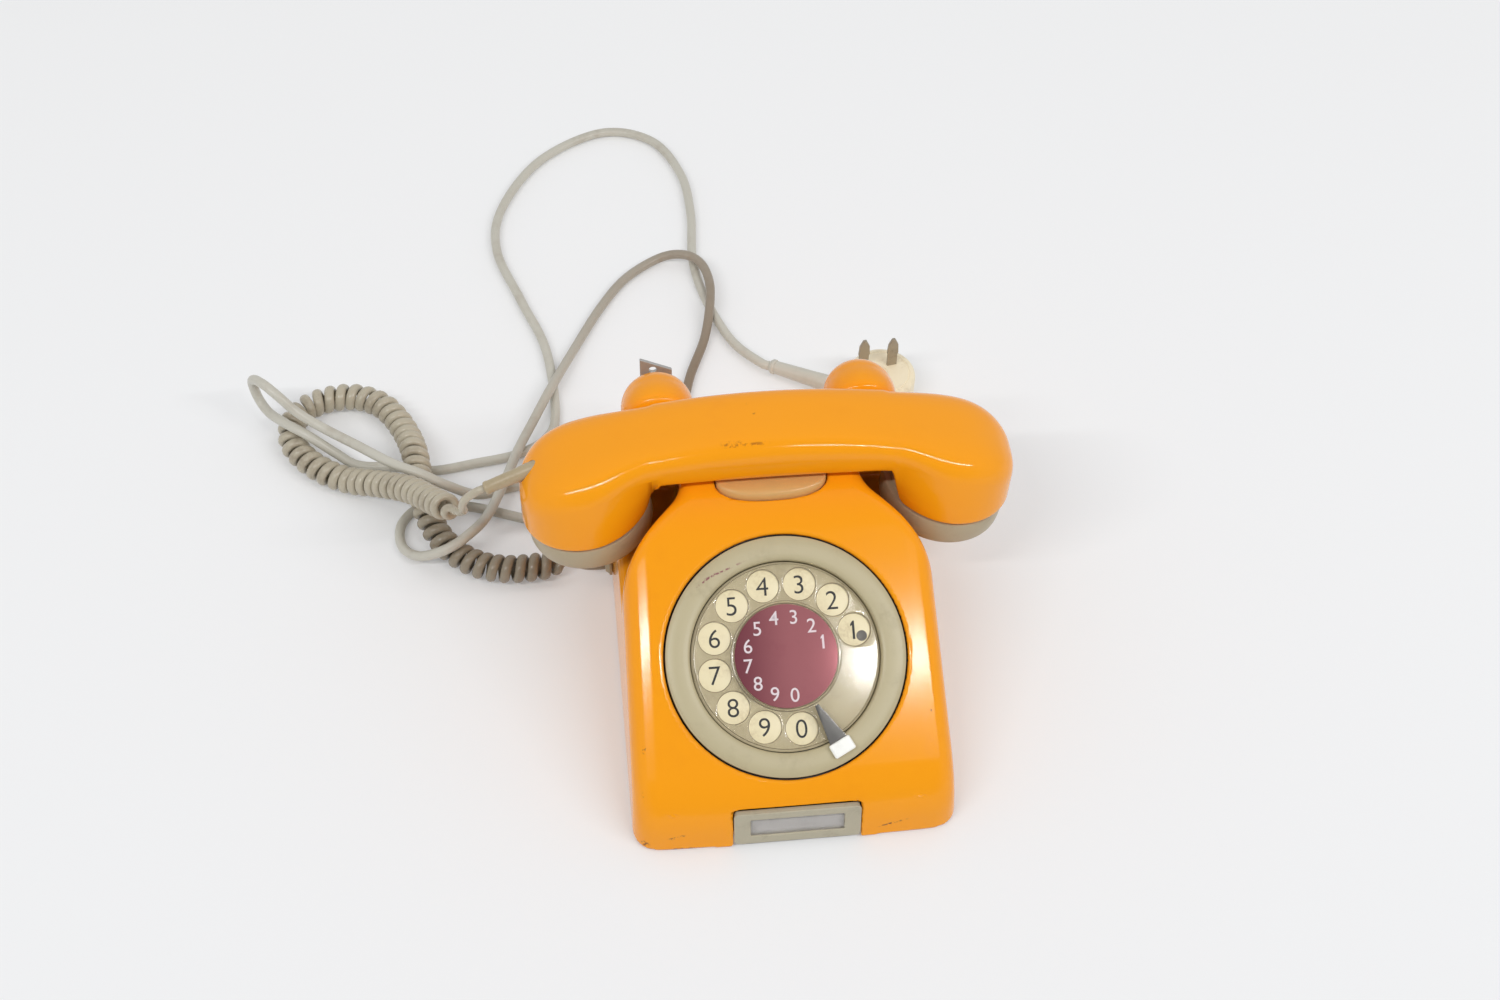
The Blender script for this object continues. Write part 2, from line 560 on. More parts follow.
# Housing: one glossy orange moulding, open below, with 3 mm walls, two horns that hold the handset
# and a hollow for each end of it. Soft rounding runs round every edge; screws from below hold it.
def soft_max(a, b, k):
    return np.maximum(a, b) + np.maximum(k - np.abs(a - b), 0) ** 2 / (4 * k)


def soft_min(a, b, k):
    return -soft_max(-a, -b, k)


front_y, foot_half, back_y, wall = 102.5, 73.0, 203.0, 3.0
face_tilt, draft = math.radians(31.4), math.radians(2.5)
skirt_lean, skirt_h, skirt_half, skirt_fall, neck_h = 4.6, 25.0, 63.0, 0.983, 98.8
skirt_bow, bow_fade = 1.6, 0.04
dial_y, dial_z, dial_hole_r, dial_hole_deep = 61.02, 59.44, 54.4, 8.0
saddle_y, saddle_z, saddle_r, saddle_way = 158.0, 88.8, 10.0, (0.6355, 0.7721)
horn_x, horn_y, horn_z, horn_r = 47.4, 170.0, 95.0, 18.5
horn_back, horn_drop, horn_thin, horn_front = 14.0, 4.0, 1.5, 168.0
foot_deep, foot_grow = 15.0, 3.0
cup_x, cup_y, hollow_r, hollow_floor, hollow_back = 83.3, 143.5, 32.5, 56.0, 166.5
neck_x, neck_y, neck_way = 41.0, 131.0, (0.688, 0.726)
boss_spots, boss_r, boss_bore, boss_low, boss_top = ((55, 11), (50, 195.8)), 4.5, 1.6, 4.5, 22.0
notch_half, notch_top, notch_deep = 28.6, 21.5, 9.0
button_y, button_hole, button_hole_low, oval_power = 133.0, (25.5, 11.0), 86.0, 2.5
cord_hole_y, cord_hole_z, cord_hole_r, cord_hole_end = 156.0, 10.0, 3.6, -60.0
gland_x, gland_z, gland_r, gland_end = -34.0, 9.0, 4.1, 190.0
housing_foot = 1.0
net_low, net_high, net_step = (-75.0, -1.7, -0.9), (75.0, 205.5, 115.2), 1.3


def housing_field(p):
    """How far points lie outside the housing's walls, in millimetres back from the front edge.

    The last number of each soft_max and soft_min is the width of the rounding between two forms.
    """
    x, y, z = np.abs(p[:, 0]), p[:, 1], p[:, 2]
    side = (x - foot_half + z * math.tan(draft)) * math.cos(draft)
    bow = (skirt_bow - bow_fade * z) * (x / skirt_half) ** 2
    skirt = (skirt_lean / skirt_h * z + bow - y) * skirt_fall
    face = (z - skirt_h) * math.cos(face_tilt) - (y - skirt_lean) * math.sin(face_tilt)
    saddle = saddle_way[0] * (y - saddle_y) + saddle_way[1] * (z - saddle_z) - saddle_r
    body = soft_max(soft_max(face, z - neck_h, 11), saddle, 14)
    body = soft_max(soft_max(body, skirt, 12), y - back_y, 14)
    body = soft_max(body, side, 12.5)
    run = horn_back**2 + horn_drop**2
    share = np.clip((horn_back * (y - horn_y) - horn_drop * (z - horn_z)) / run, 0, 1)
    horn = np.sqrt((x - horn_x) ** 2 + (y - horn_y - horn_back * share) ** 2
                   + (z - horn_z + horn_drop * share) ** 2) - horn_r + horn_thin * share
    share = np.clip((horn_z - z) / foot_deep, 0, 1)
    foot = np.sqrt((x - horn_x) ** 2 + np.maximum(y - horn_y, 0) ** 2
                   + (z - horn_z + foot_deep * share) ** 2) - horn_r - foot_grow * share
    body = soft_min(body, soft_max(np.minimum(horn, foot), horn_front - y, 18), 8)
    neck_edge = neck_way[0] * (x - neck_x) + neck_way[1] * (y - neck_y)
    hollow = soft_max(soft_max(-neck_edge, neck_x - x, 6), y - hollow_back, 6)
    hollow = soft_min(hollow, np.hypot(x - cup_x, y - cup_y) - hollow_r, 3)
    outer = soft_max(body, -soft_max(hollow, hollow_floor - z, 5), 8)
    walls = np.maximum(outer, -outer - wall)
    for spot_x, spot_y in boss_spots:
        off = np.hypot(x - spot_x, y - spot_y)
        boss = np.maximum(np.maximum(off - boss_r, z - boss_top), np.maximum(boss_low - z, boss_bore - off))
        walls = soft_min(walls, boss, 0.6)
    up_face = (y - dial_y) * math.cos(face_tilt) + (z - dial_z) * math.sin(face_tilt)
    off_face = (z - dial_z) * math.cos(face_tilt) - (y - dial_y) * math.sin(face_tilt)
    dial_hole = np.maximum(np.hypot(x, up_face) - dial_hole_r, -dial_hole_deep - off_face)
    walls = soft_max(walls, -dial_hole, 1.6)
    notch = soft_max(soft_max(x - notch_half, z - notch_top, 2.4), y - notch_deep, 1)
    walls = soft_max(walls, -notch, 0.7)
    oval = (x / button_hole[0]) ** oval_power + (np.abs(y - button_y) / button_hole[1]) ** oval_power
    oval = oval ** (1 / oval_power)
    walls = soft_max(walls, -np.maximum(button_hole[1] * (oval - 1), button_hole_low - z), 1.2)
    cord_hole = np.maximum(np.hypot(y - cord_hole_y, z - cord_hole_z) - cord_hole_r, p[:, 0] - cord_hole_end)
    gland_hole = np.maximum(np.hypot(p[:, 0] - gland_x, z - gland_z) - gland_r, gland_end - y)
    walls = np.maximum(walls, -np.minimum(cord_hole, gland_hole))
    return soft_max(walls, housing_foot - z, 1.2)


def net_skin(name, field, low, high, step):
    """A mesh on the zero surface of field: surface nets on an even grid, then drawn onto the surface."""
    low = np.array(low, float)
    count = np.ceil((np.array(high) - low) / step).astype(int) + 1
    axes = [low[i] + step * np.arange(count[i]) for i in range(3)]
    value = np.empty(count)
    plane = np.stack(np.meshgrid(axes[1], axes[2], indexing="ij"), -1).reshape(-1, 2)
    slab = 16
    for first in range(0, count[0], slab):
        xs = axes[0][first:first + slab]
        points = np.concatenate([np.column_stack([np.full(len(plane), x), plane]) for x in xs])
        value[first:first + slab] = field(points).reshape(len(xs), count[1], count[2])
    cells = count - 1
    index = np.stack(np.meshgrid(*[np.arange(c, dtype=float) for c in cells], indexing="ij"))
    total, hits = np.zeros((3, *cells)), np.zeros(cells)
    crossings = []
    for axis in range(3):
        a = np.take(value, np.arange(count[axis] - 1), axis)
        b = np.take(value, np.arange(1, count[axis]), axis)
        crossed = (a < 0) != (b < 0)
        part = np.where(crossed, a / np.where(crossed, a - b, 1), 0)
        crossings.append((crossed, a < 0))
        u, v = (i for i in range(3) if i != axis)
        for first, second in ((0, 0), (0, 1), (1, 0), (1, 1)):
            window = [slice(None)] * 3
            window[u], window[v] = slice(first, first + cells[u]), slice(second, second + cells[v])
            hit, t = crossed[tuple(window)], part[tuple(window)]
            hits += hit
            for way, offset in ((axis, t), (u, first), (v, second)):
                total[way] += hit * (index[way] + offset)
    used = hits > 0
    number = np.full(cells, -1)
    number[used] = np.arange(used.sum())
    points = low + step * (total[:, used] / hits[used]).T
    quads = []
    for axis, (crossed, below) in enumerate(crossings):
        u, v = (axis + 1) % 3, (axis + 2) % 3
        at = np.argwhere(crossed)
        at = at[(at[:, u] > 0) & (at[:, v] > 0) & (at[:, u] < cells[u]) & (at[:, v] < cells[v])]
        to_u, to_v = np.eye(3, dtype=int)[[u, v]]
        corners = [at - to_u - to_v, at - to_v, at, at - to_u]
        quad = np.column_stack([number[tuple(cell.T)] for cell in corners])
        rising = below[tuple(at.T)]
        quads.append(np.where(rising[:, None], quad, quad[:, ::-1]))
    quads = np.concatenate(quads)

    def slope(at):
        nudge = 0.03
        return np.column_stack([
            (field(at + nudge * axis) - field(at - nudge * axis)) / (2 * nudge) for axis in np.eye(3)])

    def drawn(at, times):
        least_slope = 0.05
        for _ in range(times):
            g = slope(at)
            move = field(at)[:, None] * g / np.maximum((g * g).sum(1), least_slope)[:, None]
            at = at - np.clip(move, -step, step)
        return at

    points = drawn(points, 2)
    ends = np.concatenate([quads[:, [i, (i + 1) % 4]] for i in range(4)])
    valence = np.bincount(ends[:, 0], minlength=len(points))[:, None]
    for _ in range(3):
        pull = np.column_stack([
            np.bincount(ends[:, 0], points[ends[:, 1], i], minlength=len(points)) for i in range(3)])
        points = drawn(0.5 * points + 0.5 * pull / valence, 1)
    points = drawn(points, 1)
    normals = slope(points)
    normals /= np.linalg.norm(normals, axis=1)[:, None]
    mesh = bpy.data.meshes.new(name)
    mesh.from_pydata(0.001 * (points - [0, front_y, 0]), [], quads.tolist())
    mesh.shade_smooth()
    mesh.normals_split_custom_set_from_vertices(normals)
    return mesh


# Scuff: a short dark rub mark, broken up by fine grain, at one place of a moulding.
scuff, scuff_in, scuff_out = effect("scuff", [
    ("Place", "NodeSocketVector", (0, 0, 0)), ("Along", "NodeSocketVector", (1, 0, 0)),
    ("Half Length", "NodeSocketFloat", 0.01), ("Half Width", "NodeSocketFloat", 0.002)],
    [("Mask", "NodeSocketFloat")])
scuff_at = wired(scuff, "ShaderNodeTexCoord", {})["Object"]
scuff_off = wired(scuff, "ShaderNodeVectorMath", {0: scuff_at, 1: scuff_in["Place"]},
                  operation="SUBTRACT")["Vector"]
scuff_along = wired(scuff, "ShaderNodeVectorMath", {0: scuff_off, 1: scuff_in["Along"]},
                    operation="DOT_PRODUCT")["Value"]
scuff_far = wired(scuff, "ShaderNodeVectorMath", {0: scuff_off}, operation="LENGTH")["Value"]
scuff_aside = maths(scuff, "SUBTRACT", maths(scuff, "MULTIPLY", scuff_far, scuff_far),
                    maths(scuff, "MULTIPLY", scuff_along, scuff_along))
scuff_aside = maths(scuff, "SQRT", maths(scuff, "MAXIMUM", scuff_aside, 0.0))
scuff_along = maths(scuff, "ABSOLUTE", scuff_along)
scuff_long = ramp(scuff, maths(scuff, "DIVIDE", scuff_along, scuff_in["Half Length"]), 0.3, 1.0, 1.0, 0.0)
scuff_wide = ramp(scuff, maths(scuff, "DIVIDE", scuff_aside, scuff_in["Half Width"]), 0.2, 1.0, 1.0, 0.0)
scuff_grain = wired(scuff, "ShaderNodeTexNoise", {"Vector": scuff_at, "Scale": 700.0, "Detail": 2.0})["Fac"]
scuff_mask = maths(scuff, "MULTIPLY", maths(scuff, "MULTIPLY", scuff_long, scuff_wide),
                   ramp(scuff, scuff_grain, 0.42, 0.62))
scuff.links.new(scuff_mask, scuff_out["Mask"])


def rub_marks(material, marks):
    """The masks of rub marks, each given by its place, its way, half its length and half its width."""
    return [wired(material.node_tree, "ShaderNodeGroup", {
        "Place": place, "Along": Vector(along).normalized(), "Half Length": long, "Half Width": wide},
        node_tree=scuff)["Mask"] for place, along, long, wide in marks]


def orange_plastic(name, marks, mark_colour):
    """Glossy moulded plastic: faint clouding, handling haze in the gloss, and rub marks at their places."""
    material = grimy(name, (0.945, 0.350, 0.006), (0.86, 0.28, 0.006), 16.0, 0.35, 0.11, dull=0.06)
    tree = material.node_tree
    tree.nodes["Principled BSDF"].inputs["Specular IOR Level"].default_value = 0.32
    mask, *others = rub_marks(material, marks)
    for other in others:
        mask = maths(tree, "MAXIMUM", mask, other)
    overlaid(material, mask, mark_colour)
    return material


housing_marks = [
    ((-0.0658, -0.0719, 0.0395), (0.3, 1, 0.4), 0.0022, 0.0012),
    ((-0.0682, -0.0908, 0.0265), (0, 1, 0.8), 0.0060, 0.0016),
    ((-0.0683, -0.0985, 0.0042), (1, 0.4, 0), 0.0035, 0.0024),
    ((-0.0503, -0.1012, 0.0017), (1, 0, 0), 0.0100, 0.0012),
    ((-0.0573, -0.0970, 0.0238), (1, 0, 0), 0.0014, 0.0012),
    ((-0.0537, -0.1000, 0.0098), (1, 0, 0.3), 0.0050, 0.0010),
    ((0.0628, -0.0654, 0.0444), (1, 1, 0), 0.0014, 0.0010),
    ((0.0445, -0.1005, 0.0089), (1, 0, 0.25), 0.0110, 0.0008),
    ((0.0640, 0.0930, 0.0300), (0, 0, 1), 0.0090, 0.0014)]
housing_orange = orange_plastic("housing_orange", housing_marks, (0.16, 0.055, 0.02))
housing_tree = housing_orange.node_tree
from_middle = maths(housing_tree, "ABSOLUTE", spot_along(housing_tree, "X"))
back, up = spot_along(housing_tree, "Y"), spot_along(housing_tree, "Z")
past_neck = maths(housing_tree, "ADD", maths(housing_tree, "MULTIPLY", from_middle, neck_way[0]),
                  maths(housing_tree, "MULTIPLY", back, neck_way[1]))
hollow_grime = ramp(housing_tree, past_neck, 0.047, 0.058, 0.0, 0.75)
for across, start, stop in ((from_middle, 0.058, 0.070), (back, 0.058, 0.066), (up, 0.082, 0.095)):
    edge = ramp(housing_tree, across, start, stop, 1.0, 0.0)
    hollow_grime = maths(housing_tree, "MULTIPLY", hollow_grime, edge)
overlaid(housing_orange, hollow_grime, (0.20, 0.075, 0.012))
housing_skin = net_skin("orange_housing", housing_field, net_low, net_high, net_step)
housing = new_piece("orange_housing", housing_skin, housing_orange)
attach(housing, "root")
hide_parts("housing")


# Base: a pressed steel plate inside the housing's walls, on four rubber feet. Four screws go up
# through it into the housing's bosses.
def repaint(material, *names):
    for name in names:
        for slot in cad[name].material_slots:
            slot.material = material


plain_steel = grimy("plain_steel", (0.48, 0.48, 0.47), (0.24, 0.22, 0.19), 70.0, 0.5, 0.38, metallic=0.9)
foot_rubber = grimy("foot_rubber", (0.030, 0.029, 0.028), (0.10, 0.09, 0.08), 180.0, 0.6, 0.72, bump=0.0001)
repaint(plain_steel, "base_plate", "base_screws")
repaint(foot_rubber, "rubber_feet")


# Name label: a beige frame that fills the notch in the skirt, with a clear window over a blank card.
# The frame is a moulding with a sloping rim, and card and window lie in a rebate behind it.
def rounded_box(u, v, r, steps=6, at=(0, 0)):
    corners = ((u - r, v - r, 0), (r - u, v - r, 90), (r - u, r - v, 180), (u - r, r - v, 270))
    return [(at[0] + cu + r * math.cos(math.radians(a + 90 * k / steps)),
             at[1] + cv + r * math.sin(math.radians(a + 90 * k / steps)))
            for cu, cv, a in corners for k in range(steps + 1)]


lean = math.atan2(skirt_lean, skirt_h)
skirt_place = Matrix((
    (1, 0, 0, 0), (0, math.sin(lean), -math.cos(lean), -0.001 * front_y),
    (0, math.cos(lean), math.sin(lean), 0), (0, 0, 0, 1)))
label_grey = grimy("label_grey", (0.46, 0.42, 0.31), (0.24, 0.20, 0.13), 90.0, 0.5, 0.36, bump=0.00003)
label_middle, window_middle = (0, 12.25), (0, 12.6)
label_frame = merged("label_rim", [
    plate("label_rim_front", [rounded_box(28.4, 9.65, 2.2, at=label_middle),
                              rounded_box(20.9, 5.3, 0.6, at=window_middle)],
          skirt_place, label_grey, low=-1.4, high=-0.2, edge=0.55),
    plate("label_rim_back", [rounded_box(28.0, 9.4, 2.0, at=label_middle),
                             rounded_box(23.5, 7.9, 0.5, at=window_middle)],
          skirt_place, label_grey, low=-3.4, high=-1.3, edge=0.2)], label_grey)
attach(label_frame, "root")
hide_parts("label_frame")


def clear_plastic(name, colour, roughness):
    material = grimy(name, colour, tuple(0.75 * c for c in colour), 90.0, 0.25, roughness, dull=0.08)
    shader = material.node_tree.nodes["Principled BSDF"]
    shader.inputs["Transmission Weight"].default_value = 1.0
    shader.inputs["IOR"].default_value = 1.49
    return material


def let_light_in(piece):
    """A clear piece that casts no shadow on what lies close below it."""
    piece.visible_shadow = False
    piece.visible_diffuse = False


card_paper = grimy("card_paper", (0.93, 0.89, 0.84), (0.72, 0.67, 0.61), 120.0, 0.5, 0.6)
repaint(card_paper, "label_card")
repaint(clear_plastic("window_clear", (0.95, 0.95, 0.96), 0.08), "label_window")
let_light_in(cad["label_window"])


# Hanger lug: a strip of grey steel on the back wall behind the left horn, with a hole near its
# slanting top. One screw holds it; the telephone can hang from it on a wall.
def circle(r, steps, at=(0, 0)):
    turns = [2 * math.pi * k / steps for k in range(steps)]
    return [(at[0] + r * math.cos(a), at[1] + r * math.sin(a)) for a in turns]


lug_steel = grimy("lug_steel", (0.44, 0.44, 0.43), (0.24, 0.225, 0.21), 120.0, 0.6, 0.34, metallic=0.2)
lug_outline = [(-54, 42), (-39, 42), (-39, 95.7), (-39.3, 96.1), (-53.4, 103.6), (-54, 103.4)]
back_wall = Matrix(((1, 0, 0, 0), (0, 0, -1, 0), (0, 1, 0, 0), (0, 0, 0, 1)))
hanger_lug = plate("wall_lug", [lug_outline, circle(1.8, 32, (-48, 97)), circle(1.3, 24, (-46.5, 50))],
                   back_wall, lug_steel, low=-102.1, high=-100.5, edge=0.2)
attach(hanger_lug, "root")
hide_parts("hanger_lug")
repaint(plain_steel, "lug_screw")


# Dial face: a beige bezel in the housing's round hole, a ring below it that carries ten cream discs
# with printed digits, and a steel finger stop with a white tip, screwed to the dial's frame. A small
# dark pin stands on the ring below the digit 1.
dial_place = Matrix.Translation((0, 0.001 * (dial_y - front_y), 0.001 * dial_z)) @ Matrix.Rotation(
    face_tilt, 4, "X")
bezel_marks = [
    ((-0.0255, -0.0083, 0.0808), (1, 0.32, 0.2), 0.0130, 0.0007),
    ((-0.0330, -0.0112, 0.0790), (1, 0.55, 0.33), 0.0070, 0.0006),
    ((-0.0220, -0.0100, 0.0800), (1, 0.32, 0.2), 0.0080, 0.0005)]
bezel_beige = grimy("bezel_beige", (0.49, 0.425, 0.26), (0.27, 0.22, 0.13), 45.0, 0.45, 0.36, bump=0.00003)
for rub in rub_marks(bezel_beige, bezel_marks):
    overlaid(bezel_beige, rub, (0.22, 0.05, 0.07))
bezel = lathe("dial_rim", [
    (42.6, -9.2), (53.6, -9.2), (53.6, -0.5), (53.5, -0.1), (53.2, 0.1), (52.7, 0.3), (52.4, 0.45),
    (51.5, 0.7), (49.0, 0.8), (46.0, 0.75), (44.2, 0.6), (43.4, 0.35), (42.9, -0.1), (42.7, -0.7),
    (42.6, -2.0), (42.6, -9.2)], 192, dial_place, bezel_beige)
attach(bezel, "root")
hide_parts("dial_bezel")

ring_beige = grimy("ring_beige", (0.44, 0.375, 0.235), (0.19, 0.145, 0.075), 65.0, 0.75, 0.42, bump=0.00004)
number_ring = lathe("number_track", [
    (12, -5.0), (40.8, -5.0), (40.8, -9.2), (42.2, -9.2), (42.2, -3.8), (41.4, -3.6), (40.8, -3.7),
    (40.4, -3.8), (25.2, -3.8), (12, -3.8), (12, -5.0)], 160, dial_place, ring_beige)
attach(number_ring, "root")
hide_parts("number_ring")

ring_of_pieces, ring_in, ring_out = tree_with("ring_of_pieces", [
    ("Count", "NodeSocketInt"), ("Radius", "NodeSocketFloat"), ("First", "NodeSocketFloat"),
    ("Step", "NodeSocketFloat")])
ring_index = wired(ring_of_pieces, "GeometryNodeInputIndex", {})["Index"]
ring_turn = maths(ring_of_pieces, "MULTIPLY", ring_index, ring_in["Step"])
ring_turn = maths(ring_of_pieces, "ADD", ring_turn, ring_in["First"])
ring_spot = wired(ring_of_pieces, "ShaderNodeCombineXYZ", {
    axis: maths(ring_of_pieces, "MULTIPLY", maths(ring_of_pieces, wave, ring_turn), ring_in["Radius"])
    for axis, wave in (("X", "COSINE"), ("Y", "SINE"))})["Vector"]
ring_line = wired(ring_of_pieces, "GeometryNodeMeshLine", {"Count": ring_in["Count"]})["Mesh"]
ring_points = wired(ring_of_pieces, "GeometryNodeSetPosition", {"Geometry": ring_line, "Position": ring_spot})
ring_copies = wired(ring_of_pieces, "GeometryNodeInstanceOnPoints", {
    "Points": ring_points["Geometry"], "Instance": ring_in["Geometry"]})["Instances"]
painted(ring_of_pieces, ring_copies, ring_in, ring_out)


def ring_of(name, one_piece, place, **values):
    """A ring of copies of one piece, which is removed."""
    start_mesh = one_piece.data
    bpy.data.objects.remove(one_piece)
    ring = grown(name, start_mesh, ring_of_pieces, **values)
    ring.transform(place)
    return new_piece(name, ring)


hole_count, hole_ring_r, first_hole, hole_step = 10, 0.0327, math.radians(17), math.radians(29)
disc_cream = grimy("disc_cream", (0.84, 0.74, 0.48), (0.52, 0.40, 0.21), 75.0, 0.7, 0.35, bump=0.00003)
one_disc = lathe("one_disc", [
    (0, -3.8), (7.2, -3.8), (7.2, -3.62), (7.1, -3.53), (6.9, -3.5), (0, -3.5)],
    48, Matrix.Identity(4), disc_cream)
number_discs = ring_of("number_spots", one_disc, dial_place, Count=hole_count, Radius=hole_ring_r,
                       First=first_hole, Step=hole_step, Material=disc_cream)
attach(number_discs, "root")
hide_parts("number_discs")


def digits(name, material, radius, height, low, weight):
    """Ten upright printed digits on the dial's circle, one mesh, a hair thick."""
    hair = 0.00002
    work = bmesh.new()
    for k, figure in enumerate("1234567890"):
        if figure == "1":
            stem, flag = 0.075 * height + weight, 0.16 * height
            shape = [(stem, 0), (stem, height), (-0.4 * stem, height), (-flag, 0.82 * height),
                     (-flag, 0.70 * height), (-stem, 0.76 * height), (-stem, 0)]
            mesh = hoop_mesh(name + "_figure", [(x, y, z) for z in (0, hair) for x, y in shape],
                             len(shape), capped=(0, -1))
        else:
            letter = bpy.data.curves.new(name + "_figure", "FONT")
            letter.body = figure
            letter.size = 1.6 * height
            letter.align_x = "CENTER"
            letter.offset = weight
            letter.extrude = hair / 2
            shown = new_piece(name + "_figure", letter)
            mesh = shown_mesh(shown)
            bpy.data.objects.remove(shown)
            rows = [v.co.y for v in mesh.vertices]
            fit = height / (max(rows) - min(rows))
            mesh.transform(Matrix.Diagonal((fit, fit, 1, 1)) @ Matrix.Translation((0, -min(rows), 0)))
        a = first_hole + k * hole_step
        mesh.transform(dial_place @ Matrix.Translation((
            radius * math.cos(a), radius * math.sin(a) - height / 2, low)))
        work.from_mesh(mesh)
        bpy.data.meshes.remove(mesh)
    bmesh.ops.remove_doubles(work, verts=work.verts, dist=1e-7)
    bmesh.ops.recalc_face_normals(work, faces=work.faces)
    mesh = bpy.data.meshes.new(name)
    work.to_mesh(mesh)
    work.free()
    return new_piece(name, mesh, material)


digit_black = grimy("digit_black", (0.012, 0.012, 0.012), (0.05, 0.045, 0.04), 300.0, 0.4, 0.45)
disc_digits = digits("disc_digits", digit_black, radius=hole_ring_r, height=0.0082,
                     low=-0.00349, weight=-0.00007)
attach(disc_digits, "root")

stop_turn = math.radians(297)
stop_place = dial_place @ Matrix.Rotation(stop_turn, 4, "Z")
stop_steel = grimy(
    "stop_steel", (0.19, 0.185, 0.175), (0.11, 0.10, 0.09), 160.0, 0.6, 0.10, dull=0.05, metallic=0.6)
finger_stop = plate("finger_hook", [[(25.4, -0.9), (43.6, -4.2), (43.6, 4.2), (25.4, 0.9)]],
                    stop_place, stop_steel, low=0.9, high=2.1, edge=0.18)
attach(finger_stop, "root")
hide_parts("finger_stop")
tip_white = grimy("tip_white", (0.92, 0.92, 0.87), (0.55, 0.53, 0.47), 140.0, 0.4, 0.25)
stop_tip = plate("finger_hook_tip", [rounded_box(3.3, 5.2, 0.9, at=(46.9, 0))],
                 stop_place, tip_white, low=0.85, high=3.8, edge=0.7)
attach(stop_tip, "root")
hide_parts("finger_stop_tip")

lock_dark = grimy("lock_dark", (0.13, 0.12, 0.105), (0.34, 0.31, 0.26), 400.0, 0.7, 0.4)
lock_r, lock_turn, lock_low = 0.0354, math.radians(11), -0.0038
lock_spot = Matrix.Translation((lock_r * math.cos(lock_turn), lock_r * math.sin(lock_turn), lock_low))
lock_hole = lathe("lock_hole", [
    (0, 0.32), (1.6, 0.34), (2.0, 0.44), (2.3, 0.42), (2.4, 0.3), (2.4, 0), (0, 0)],
    40, dial_place @ lock_spot, lock_dark)
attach(lock_hole, "root")


# Dial works: a black steel cup under the face, a brass bridge, gears and a governor. The works are hidden,
# and they keep the shapes of the solid model.
bright_brass = grimy("bright_brass", (0.66, 0.50, 0.20), (0.30, 0.20, 0.08), 90.0, 0.5, 0.28, metallic=0.95)
black_moulding = grimy("black_moulding", (0.035, 0.034, 0.033), (0.10, 0.09, 0.08), 130.0, 0.4, 0.45)
black_lacquer = grimy("black_lacquer", (0.018, 0.017, 0.016), (0.06, 0.055, 0.05), 90.0, 0.4, 0.45)
repaint(black_lacquer, "dial_frame")
repaint(plain_steel, "dial_screws", "dial_spring", "dial_shaft")
repaint(bright_brass, "dial_bridge", "pulse_contacts", "dial_gear", "dial_idler", "dial_governor")
repaint(black_moulding, "pulse_cam")


# Finger wheel: a clear plastic disc with ten finger holes, turned by the finger against the spring.
# A raised hub in its middle frames a round card of pink foil with white printed digits.
wheel_r, finger_hole_r, rim_slope = 41.2, 7.25, 0.9
wheel_clear = clear_plastic("wheel_clear", (0.97, 0.95, 0.88), 0.09)
wheel_turns = [first_hole + k * hole_step for k in range(hole_count)]
wheel_holes = [circle(finger_hole_r, 64, (1000 * hole_ring_r * math.cos(a), 1000 * hole_ring_r * math.sin(a)))
               for a in wheel_turns]
wheel = merged("clear_wheel", [
    plate("wheel_disc", [circle(wheel_r, 192), *wheel_holes], dial_place, wheel_clear,
          low=-2.6, high=-0.4, edge=0.6),
    lathe("wheel_hub", [
        (0, -0.39), (24.6, -0.39), (24.6, 0.7), (24.4, 1.05), (24.0, 1.2), (23.6, 1.1), (23.3, 0.75),
        (23.2, 0.2), (0, 0.2)], 128, dial_place, wheel_clear)], wheel_clear)
let_light_in(wheel)
wheel_edge = clear_plastic("wheel_edge", (0.25, 0.21, 0.14), 0.16)
wheel_edge.node_tree.nodes["Principled BSDF"].inputs["Transmission Weight"].default_value = 0.25
wheel.data.materials.append(wheel_edge)
wheel_axis = dial_place.to_3x3() @ Vector((0, 0, 1))
for face in wheel.data.polygons:
    if abs(face.normal.dot(wheel_axis)) < rim_slope:
        face.material_index = 1
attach(wheel, "dial")
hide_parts("finger_wheel")

card_pink = grimy(
    "card_pink", (0.69, 0.25, 0.275), (0.42, 0.11, 0.145), 38.0, 0.6, 0.05, dull=0.04, metallic=0.7)
card_tree = card_pink.node_tree
card_worn = ramp(card_tree, spot_along(card_tree, "X"), -0.024, 0.004, 0.80, 0.0)
overlaid(card_pink, card_worn, (0.29, 0.07, 0.10))
center_card = lathe("pink_card", [(0, 0.2), (22.9, 0.2), (23.0, 0.3), (23.0, 0.6), (22.9, 0.7), (0, 0.7)],
                    128, dial_place, card_pink)
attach(center_card, "dial")
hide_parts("center_card")
print_white = grimy("print_white", (0.72, 0.64, 0.66), (0.55, 0.42, 0.45), 260.0, 0.4, 0.5)
card_digits = digits("card_digits", print_white, radius=0.0176, height=0.0062, low=0.00071, weight=0.00002)
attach(card_digits, "dial")


